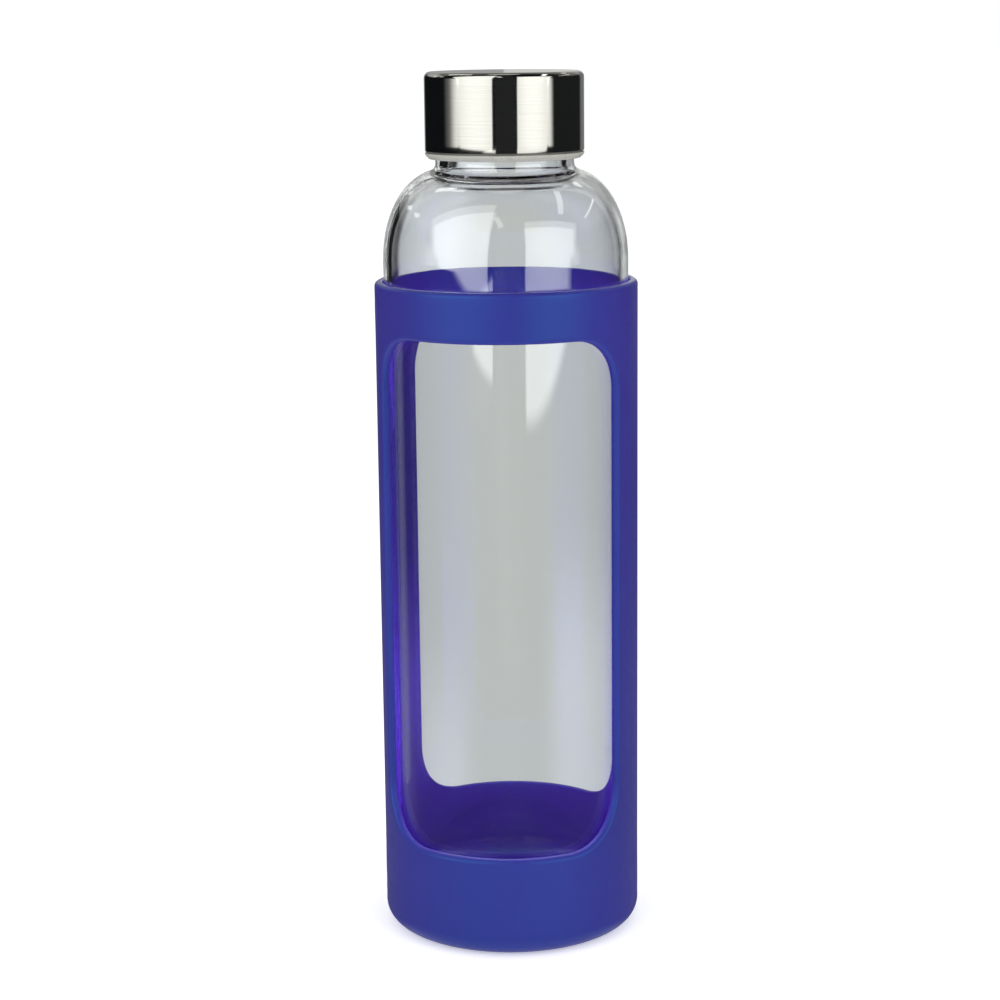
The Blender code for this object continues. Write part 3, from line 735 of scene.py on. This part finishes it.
def set_world():
    """Pale surround. Mirrors see a dark studio with soft boxes, as polished metal does."""
    world = bpy.data.worlds.new("studio")
    scene.world = world
    world.use_nodes = True
    t = world.node_tree
    link = t.links.new
    out = t.nodes["World Output"]
    plain = t.nodes["Background"]
    plain.inputs["Color"].default_value = (1, 1, 1, 1)
    plain.inputs["Strength"].default_value = 0.72

    coord = t.nodes.new("ShaderNodeTexCoord")
    sep = t.nodes.new("ShaderNodeSeparateXYZ")
    link(coord.outputs["Generated"], sep.inputs["Vector"])

    def math_node(op, a, b=None, clamp=False):
        n = t.nodes.new("ShaderNodeMath")
        n.operation = op
        n.use_clamp = clamp
        for i, v in enumerate((a, b)):
            if v is None:
                continue
            if isinstance(v, (int, float)):
                n.inputs[i].default_value = v
            else:
                link(v, n.inputs[i])
        return n.outputs[0]

    # azimuth from the camera's side, positive to the right, in degrees; elevation likewise
    rot = t.nodes.new("ShaderNodeVectorRotate")
    rot.rotation_type = 'Z_AXIS'
    rot.inputs["Angle"].default_value = -TURN
    link(coord.outputs["Generated"], rot.inputs["Vector"])
    s2 = t.nodes.new("ShaderNodeSeparateXYZ")
    link(rot.outputs["Vector"], s2.inputs["Vector"])
    minus_y = math_node('MULTIPLY', s2.outputs["Y"], -1.0)
    azimuth = math_node('MULTIPLY', math_node('ARCTAN2', s2.outputs["X"], minus_y), 180 / math.pi)
    elevation = math_node('MULTIPLY', math_node('ARCSINE', s2.outputs["Z"]), 180 / math.pi)

    def step(value, lo, hi):
        """0 below lo, 1 above hi."""
        n = t.nodes.new("ShaderNodeMapRange")
        n.interpolation_type = 'SMOOTHSTEP'
        link(value, n.inputs["Value"])
        n.inputs["From Min"].default_value = lo
        n.inputs["From Max"].default_value = hi
        return n.outputs["Result"]

    def box(a0, a1, soft_a0, soft_a1, e0, e1, level, soft_e=4.0):
        """A lit panel between two azimuths and two elevations, with soft edges."""
        left = step(azimuth, a0 - soft_a0, a0)
        right = math_node('SUBTRACT', 1.0, step(azimuth, a1, a1 + soft_a1))
        low = step(elevation, e0 - soft_e, e0)
        high = math_node('SUBTRACT', 1.0, step(elevation, e1, e1 + soft_e))
        m = math_node('MULTIPLY', math_node('MULTIPLY', left, right), math_node('MULTIPLY', low, high))
        return math_node('MULTIPLY', m, level)

    def quad(corners, soft, level):
        """A flat soft box given by the directions of its corners, in order, as azimuth and elevation."""
        dirs = []
        for az, el in corners:
            az, el = math.radians(az) + TURN, math.radians(el)
            dirs.append(Vector((math.sin(az) * math.cos(el), -math.cos(az) * math.cos(el), math.sin(el))))
        middle = sum(dirs, Vector()).normalized()
        m = level
        for i, edge_soft in enumerate(soft):
            n = dirs[i].cross(dirs[(i + 1) % len(dirs)]).normalized()
            if n.dot(middle) < 0:
                n = -n
            d = t.nodes.new("ShaderNodeVectorMath")
            d.operation = 'DOT_PRODUCT'
            link(coord.outputs["Generated"], d.inputs[0])
            d.inputs[1].default_value = n
            half = math.sin(math.radians(edge_soft))
            m = math_node('MULTIPLY', step(d.outputs["Value"], -half, half), m)
        return m

    left_box = quad([(-84, 28), (-13, 59), (-17.5, -6.9), (-42, -6.0), (-67, -4.1)],
                    (1.2, 0.7, 0.4, 0.5, 3.0), 1.0)
    right_box = quad([(77, 25), (20.5, 36), (18, -9.6), (62, -7.2)], (1.2, 0.7, 0.4, 1.5), 1.0)
    low_card = quad([(-25, -6.2), (-12.5, -5.6), (-13.5, -8.6), (-33, -7.8)], (0.2, 0.4, 0.3, 0.6), 0.9)

    def glow(az, el, wide):
        """1.1 at the hot middle of a soft box, falling to 0.9."""
        az, el = math.radians(az) + TURN, math.radians(el)
        d = t.nodes.new("ShaderNodeVectorMath")
        d.operation = 'DOT_PRODUCT'
        link(coord.outputs["Generated"], d.inputs[0])
        d.inputs[1].default_value = (math.sin(az) * math.cos(el), -math.cos(az) * math.cos(el), math.sin(el))
        near = step(d.outputs["Value"], math.cos(math.radians(wide)), 1.0)
        return math_node('ADD', math_node('MULTIPLY', near, 0.22), 0.9)

    left_box = math_node('MULTIPLY', left_box, glow(-42, 18, 34))
    right_box = math_node('MULTIPLY', right_box, glow(42, 12, 26))
    boxes = math_node('ADD', math_node('ADD', left_box, right_box), low_card)
    spill = math_node('MULTIPLY', step(elevation, -3.5, -3.1), math_node('SUBTRACT', 1.0, step(elevation, 3.0, 14.0)))
    left_spill = math_node('ADD', math_node('MULTIPLY', step(azimuth, -98.0, -84.0), 0.12), math_node('MULTIPLY', step(azimuth, -87.0, -71.0), 0.68))
    left_spill = math_node('MULTIPLY', left_spill, spill)
    left_spill = math_node('MULTIPLY', left_spill, math_node('SUBTRACT', 1.0, step(azimuth, -72.0, -66.0)))
    right_spill = math_node('MULTIPLY', math_node('SUBTRACT', 1.0, step(azimuth, 67.0, 76.0)), spill)
    right_spill = math_node('MULTIPLY', math_node('MULTIPLY', right_spill, step(azimuth, 63.0, 67.0)), 0.8)
    lamps = [
        quad([(-131, 20.5), (-124, 24.5), (-121, 22.5), (-127, 19.5)], (0.8,) * 4, 2.2),
        quad([(-114, 23.1), (-107, 26.0), (-102, 24.5), (-108, 21.5)], (0.8,) * 4, 2.2),
        quad([(103, 60), (63, 38.5), (69, 36.5), (108, 56)], (0.8,) * 4, 2.6),
        quad([(124, 30), (92, 26.3), (92, 24.9), (124, 28.4)], (0.5,) * 4, 2.8),
        quad([(-14, 43), (-8, 43.5), (-1.5, 33), (-7, 30)], (0.8,) * 4, 2.0),
        quad([(-122, 43.5), (-96, 63.5), (-108, 67), (-129, 47)], (0.6,) * 4, 2.6),
        quad([(140, 44), (134, 40), (137, 36.5), (146, 39)], (0.6,) * 4, 2.2),
    ]
    panels = lamps + [
        math_node('MULTIPLY', boxes, BOX_LEVEL),
        math_node('MULTIPLY', math_node('ADD', left_spill, right_spill), BOX_LEVEL),
        box(170, 181, 6, 1, -10, 40, 0.42),     # grey backdrop behind
        box(-181, -164, 1, 6, -9, 40, 0.36),
        box(145, 181, 8, 1, -6, 40, 0.23),     # its dimmer right wing
        box(78, 137, 20, 4, -12, 40, 0.012),
        box(112, 181, 25, 1, -26, -14.5, 0.12, 2.0),   # the pale table, behind
        box(-181, -118, 1, 20, -26, -14.5, 0.11, 2.0),
        box(-181, 181, 1, 1, -91, -40, 0.60, 8.0),    # and all round below
        box(-12, 14, 2, 2, -12, 60, 0.022),     # what little light the gap between them gives
        box(120, 181, 20, 1, 20, 72, 0.22, 8.0),     # hair light above and behind
        box(-181, -120, 1, 20, 20, 72, 0.22, 8.0),
        box(-152, -122, 8, 8, 14, 32, 0.40),
        box(-181, 181, 1, 1, -40, -16.5, 0.09, 3.0),
        box(-181, 181, 1, 1, 80, 92, 0.7),      # small overhead panel
    ]
    total = 0.0
    for p in panels:
        total = math_node('ADD', p, total)
    mirror = t.nodes.new("ShaderNodeBackground")
    warm = t.nodes.new("ShaderNodeCombineXYZ")
    for axis, k in (("X", 0.96), ("Y", 0.985), ("Z", 0.95)):
        link(math_node('MULTIPLY', total, k), warm.inputs[axis])
    dusk = t.nodes.new("ShaderNodeVectorMath")
    dusk.operation = 'ADD'
    link(warm.outputs["Vector"], dusk.inputs[0])
    dusk.inputs[1].default_value = (0.007, 0.0085, 0.0105)
    link(dusk.outputs["Vector"], mirror.inputs["Color"])
    mirror.inputs["Strength"].default_value = 1.0

    path = t.nodes.new("ShaderNodeLightPath")

    # straight through the glass: the grey table and backdrop of the studio, the dark room
    # above it and a black flag at the left
    side = math_node('ABSOLUTE', azimuth)
    outer = math_node('SUBTRACT', 1.0, step(side, 176.6, 178.8))
    to_right = math_node('MULTIPLY', step(azimuth, 0.0, 1.0), outer)
    to_left = math_node('SUBTRACT', outer, to_right)
    high = step(elevation, -7.5, -6.5)
    low_left = math_node('SUBTRACT', 1.0, step(elevation, -18.2, -13.9))
    low_right = math_node('SUBTRACT', 1.0, step(elevation, -16.3, -11.4))
    of_left = math_node('ADD', math_node('MULTIPLY', high, 0.25), math_node('MULTIPLY', low_left, 0.22))
    of_right = math_node('ADD', math_node('MULTIPLY', high, 0.05), math_node('MULTIPLY', low_right, 0.235))
    lift = math_node('ADD', math_node('MULTIPLY', to_left, of_left), 1.0)
    lift = math_node('ADD', lift, math_node('MULTIPLY', to_right, of_right))
    away = t.nodes.new("ShaderNodeVectorMath")
    away.operation = 'DOT_PRODUCT'
    link(coord.outputs["Generated"], away.inputs[0])
    back = math.pi + TURN
    tip = math.radians(-4.0)
    away.inputs[1].default_value = (math.sin(back) * math.cos(tip), -math.cos(back) * math.cos(tip), math.sin(tip))

    def near_back(inner, outer_angle):
        """1 within an angle of the backdrop's middle, 0 beyond a wider one."""
        return step(away.outputs["Value"], math.cos(math.radians(outer_angle)), math.cos(math.radians(inner)))

    level = math_node('MULTIPLY', math_node('SUBTRACT', 1.0, step(elevation, 34.0, 46.0)), step(elevation, -42.0, -30.0))
    wing = math_node('MULTIPLY', step(azimuth, 140.0, 150.0), level)
    left_wing = math_node('MULTIPLY', math_node('SUBTRACT', 1.0, step(azimuth, -168.5, -164.5)), step(side, 136.0, 142.0))
    left_wing = math_node('MULTIPLY', left_wing, math_node('SUBTRACT', 1.0, step(azimuth, -2.0, -1.0)))
    left_wing = math_node('MULTIPLY', left_wing, level)
    bent = math_node('SUBTRACT', 1.0, math_node('MAXIMUM', near_back(11.5, 15.5), math_node('MAXIMUM', wing, left_wing)))
    bent = math_node('MULTIPLY', bent, math_node('MULTIPLY', step(side, 136.0, 142.0), step(elevation, -9.5, -8.0)))
    dark = math_node('SUBTRACT', 1.0, math_node('MULTIPLY', bent, 0.96))
    lift = math_node('MULTIPLY', lift, dark)
    cool = t.nodes.new("ShaderNodeMix")
    cool.data_type = 'RGBA'
    link(outer, cool.inputs["Factor"])
    cool.inputs["A"].default_value = (BACKDROP * 0.975, BACKDROP * 1.01, BACKDROP * 0.985, 1)
    cool.inputs["B"].default_value = (BACKDROP * 0.935, BACKDROP * 0.972, BACKDROP * 1.01, 1)
    seen = t.nodes.new("ShaderNodeVectorMath")
    seen.operation = 'SCALE'
    link(cool.outputs["Result"], seen.inputs[0])
    link(lift, seen.inputs["Scale"])

    # after a reflection inside the glass: black, but for the backdrop behind and the soft boxes
    left_half = math_node('SUBTRACT', 1.0, step(azimuth, -1.0, 1.0))
    behind = math_node('MAXIMUM', near_back(20.5, 23.5), wing)
    behind = math_node('MULTIPLY', behind, math_node('ADD', math_node('MULTIPLY', left_half, 0.55), 0.43))
    upper = math_node('MULTIPLY', step(elevation, 14.0, 26.0), math_node('SUBTRACT', 1.0, step(elevation, 66.0, 82.0)))
    upper = math_node('MULTIPLY', upper, step(side, 80.0, 95.0))
    behind = math_node('MAXIMUM', behind, math_node('MULTIPLY', upper, 0.62))
    first = math_node('LESS_THAN', path.outputs["Transmission Depth"], 2.5)
    gain = math_node('ADD', math_node('MULTIPLY', first, 2.5), 0.15)
    shade = math_node('ADD', behind, 0.01)
    shade = math_node('ADD', shade, math_node('MULTIPLY', boxes, gain))
    echo = t.nodes.new("ShaderNodeCombineXYZ")
    for axis, k in (("X", 0.975), ("Y", 1.0), ("Z", 1.005)):
        link(math_node('MULTIPLY', shade, k), echo.inputs[axis])

    through = t.nodes.new("ShaderNodeBackground")
    pick = t.nodes.new("ShaderNodeMix")
    pick.data_type = 'RGBA'
    link(math_node('GREATER_THAN', path.outputs["Glossy Depth"], 0.5), pick.inputs["Factor"])
    link(seen.outputs["Vector"], pick.inputs["A"])
    link(echo.outputs["Vector"], pick.inputs["B"])
    link(pick.outputs["Result"], through.inputs["Color"])

    a = t.nodes.new("ShaderNodeMixShader")
    shallow = math_node('LESS_THAN', path.outputs["Diffuse Depth"], 0.5)
    link(math_node('MULTIPLY', path.outputs["Is Glossy Ray"], shallow), a.inputs["Fac"])
    link(plain.outputs["Background"], a.inputs[1])
    link(mirror.outputs["Background"], a.inputs[2])
    b = t.nodes.new("ShaderNodeMixShader")
    link(math_node('MULTIPLY', path.outputs["Is Transmission Ray"], shallow), b.inputs["Fac"])
    link(a.outputs["Shader"], b.inputs[1])
    link(through.outputs["Background"], b.inputs[2])
    white = t.nodes.new("ShaderNodeBackground")
    white.inputs["Color"].default_value = (1, 1, 1, 1)
    white.inputs["Strength"].default_value = 1.0
    c = t.nodes.new("ShaderNodeMixShader")
    link(path.outputs["Is Camera Ray"], c.inputs["Fac"])
    link(b.outputs["Shader"], c.inputs[1])
    link(white.outputs["Background"], c.inputs[2])
    link(c.outputs["Shader"], out.inputs["Surface"])


def soft_box(name, azimuth, elevation, distance, width, height, power):
    data = bpy.data.lights.new(name, 'AREA')
    data.shape = 'RECTANGLE'
    data.size, data.size_y = width, height
    data.energy = power
    lamp = bpy.data.objects.new(name, data)
    a, e = math.radians(azimuth) + TURN, math.radians(elevation)
    target = Vector((0, 0, 0.11))
    back = Vector((math.sin(a) * math.cos(e), -math.cos(a) * math.cos(e), math.sin(e)))
    lamp.location = target + back * distance
    lamp.rotation_euler = back.to_track_quat('Z', 'Y').to_euler()
    lamp.visible_glossy = False
    lamp.visible_transmission = False
    scene.collection.objects.link(lamp)


def glow_inside(name, kind, z, power):
    """Light that the sleeve's inner wall would get through the clear walls."""
    data = bpy.data.lights.new(name, kind)
    if kind == 'SPOT':               # points down, so the cap stays dark
        data.spot_size = math.radians(176)
        data.spot_blend = 0.15
    data.shadow_soft_size = 0.012
    data.energy = power
    data.color = (1.0, 0.78, 0.84)
    lamp = bpy.data.objects.new(name, data)
    lamp.location = (0, 0, z)
    lamp.visible_glossy = False
    lamp.visible_transmission = False
    scene.collection.objects.link(lamp)


set_camera()
set_floor()
set_world()
soft_box("left_soft_box", -45, 28, 1.3, 0.9, 1.1, 4.5)
soft_box("right_soft_box", 42, 28, 1.3, 0.8, 1.1, 4.5)
soft_box("rear_fill", 170, 40, 1.6, 1.2, 0.8, 2.0)
glow_inside("inner_fill_low", 'POINT', 0.055, 0.105)
glow_inside("inner_fill_high", 'SPOT', 0.166, 0.055)
